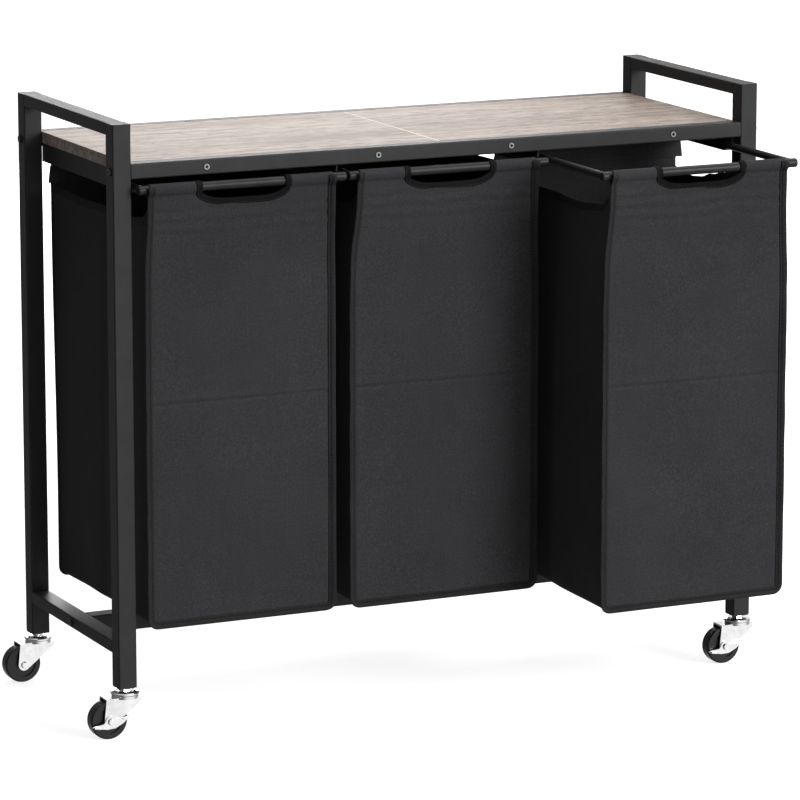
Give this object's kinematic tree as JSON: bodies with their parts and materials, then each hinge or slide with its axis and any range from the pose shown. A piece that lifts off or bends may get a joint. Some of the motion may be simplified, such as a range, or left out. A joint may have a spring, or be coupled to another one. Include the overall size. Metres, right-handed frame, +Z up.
{
  "type": "laundry sorter on wheels",
  "caption": "Wheeled laundry sorter: steel tube frame with a wood-look shelf, pull-out fabric bags hung by rods from guide rails, and swivel casters with front brakes.",
  "frame": {"origin": "on the floor, below the centre of the whole object's box, with the right bag pulled out as at rest", "axes": "+X to the object's right along its width, +Y to the rear, +Z up; the bags pull out along -Y"},
  "size_m": [0.9746, 0.5095, 0.8],
  "materials": {
    "frame_steel": "satin fine-textured powder coat, near black",
    "rod_steel": "satin black",
    "shelf_laminate": "matte greige oak laminate, grain along the width",
    "bag_fabric": "coated charcoal woven polyester with sewn binding",
    "zinc": "bright zinc plate",
    "black_bolts": "black oxide",
    "black_plastic": "matte",
    "caster_tyre": "smooth black tread, satin"
  },
  "bodies": {
    "frame": {"post_front_left": "frame_steel", "post_front_right": "frame_steel", "post_rear_left": "frame_steel", "post_rear_right": "frame_steel", "top_bar_left": "frame_steel", "top_bar_right": "frame_steel", "lower_side_bars": "frame_steel", "front_rail": "frame_steel", "rear_rail": "frame_steel", "lower_stretcher": "frame_steel", "shelf_board_left": "shelf_laminate", "shelf_board_right": "shelf_laminate", "guide_rail_left_end": "frame_steel", "guide_rail_left_middle": "frame_steel", "guide_rail_right_middle": "frame_steel", "guide_rail_right_end": "frame_steel", "rail_bolts": "black_bolts", "stretcher_bolts": "black_bolts", "board_screws": "zinc", "guide_screws": "zinc", "tube_end_inserts": "black_plastic", "caster_sockets": "black_plastic", "caster_stems": "zinc", "caster_bearing_rings": "zinc"},
    "bag_left": {"bag_left_front_rod": "rod_steel", "bag_left_side_rods": "rod_steel", "bag_left_rear_rod": "rod_steel", "bag_left_front_panel": "bag_fabric", "bag_left_rear_panel": "bag_fabric", "bag_left_side_panels": "bag_fabric", "bag_left_base": "bag_fabric"},
    "bag_middle": {"bag_middle_front_rod": "rod_steel", "bag_middle_side_rods": "rod_steel", "bag_middle_rear_rod": "rod_steel", "bag_middle_front_panel": "bag_fabric", "bag_middle_rear_panel": "bag_fabric", "bag_middle_side_panels": "bag_fabric", "bag_middle_base": "bag_fabric"},
    "bag_right": {"bag_right_front_rod": "rod_steel", "bag_right_side_rods": "rod_steel", "bag_right_rear_rod": "rod_steel", "bag_right_front_panel": "bag_fabric", "bag_right_rear_panel": "bag_fabric", "bag_right_side_panels": "bag_fabric", "bag_right_base": "bag_fabric"},
    "caster_front_left": {"fork_front_left": "zinc", "axle_front_left": "zinc"},
    "caster_wheel_front_left": {"wheel_front_left": "caster_tyre"},
    "brake_front_left": {"brake_lever_front_left": "zinc"},
    "caster_front_right": {"fork_front_right": "zinc", "axle_front_right": "zinc"},
    "caster_wheel_front_right": {"wheel_front_right": "caster_tyre"},
    "brake_front_right": {"brake_lever_front_right": "zinc"},
    "caster_rear_left": {"fork_rear_left": "zinc", "axle_rear_left": "zinc"},
    "caster_wheel_rear_left": {"wheel_rear_left": "caster_tyre"},
    "caster_rear_right": {"fork_rear_right": "zinc", "axle_rear_right": "zinc"},
    "caster_wheel_rear_right": {"wheel_rear_right": "caster_tyre"}
  },
  "joints": [
    {"name": "bag_left_slide", "type": "slide", "parent": "frame", "child": "bag_left", "axis": [0, -1, 0], "range_m": [0, 0.25]},
    {"name": "bag_middle_slide", "type": "slide", "parent": "frame", "child": "bag_middle", "axis": [0, -1, 0], "range_m": [0, 0.25]},
    {"name": "bag_right_slide", "type": "slide", "parent": "frame", "child": "bag_right", "axis": [0, -1, 0], "range_m": [-0.145, 0.105]},
    {"name": "swivel_front_left", "type": "hinge", "parent": "frame", "child": "caster_front_left", "pos_m": [-0.437, -0.07925, 0.055], "axis": [0, 0, 1], "continuous": true},
    {"name": "roll_front_left", "type": "hinge", "parent": "caster_front_left", "child": "caster_wheel_front_left", "pos_m": [-0.462, -0.07925, 0.025], "axis": [0, 1, 0], "continuous": true},
    {"name": "brake_front_left", "type": "hinge", "parent": "caster_front_left", "child": "brake_front_left", "pos_m": [-0.462, -0.09225, 0.025], "axis": [0, 1, 0], "range_deg": [0, 18]},
    {"name": "swivel_front_right", "type": "hinge", "parent": "frame", "child": "caster_front_right", "pos_m": [0.468, -0.07925, 0.055], "axis": [0, 0, 1], "continuous": true},
    {"name": "roll_front_right", "type": "hinge", "parent": "caster_front_right", "child": "caster_wheel_front_right", "pos_m": [0.443, -0.07925, 0.025], "axis": [0, 1, 0], "continuous": true},
    {"name": "brake_front_right", "type": "hinge", "parent": "caster_front_right", "child": "brake_front_right", "pos_m": [0.443, -0.09225, 0.025], "axis": [0, 1, 0], "range_deg": [0, 18]},
    {"name": "swivel_rear_left", "type": "hinge", "parent": "frame", "child": "caster_rear_left", "pos_m": [-0.437, 0.23575, 0.055], "axis": [0, 0, 1], "continuous": true},
    {"name": "roll_rear_left", "type": "hinge", "parent": "caster_rear_left", "child": "caster_wheel_rear_left", "pos_m": [-0.462, 0.23575, 0.025], "axis": [0, 1, 0], "continuous": true},
    {"name": "swivel_rear_right", "type": "hinge", "parent": "frame", "child": "caster_rear_right", "pos_m": [0.468, 0.23575, 0.055], "axis": [0, 0, 1], "continuous": true},
    {"name": "roll_rear_right", "type": "hinge", "parent": "caster_rear_right", "child": "caster_wheel_rear_right", "pos_m": [0.443, 0.23575, 0.025], "axis": [0, 1, 0], "continuous": true}
  ]
}
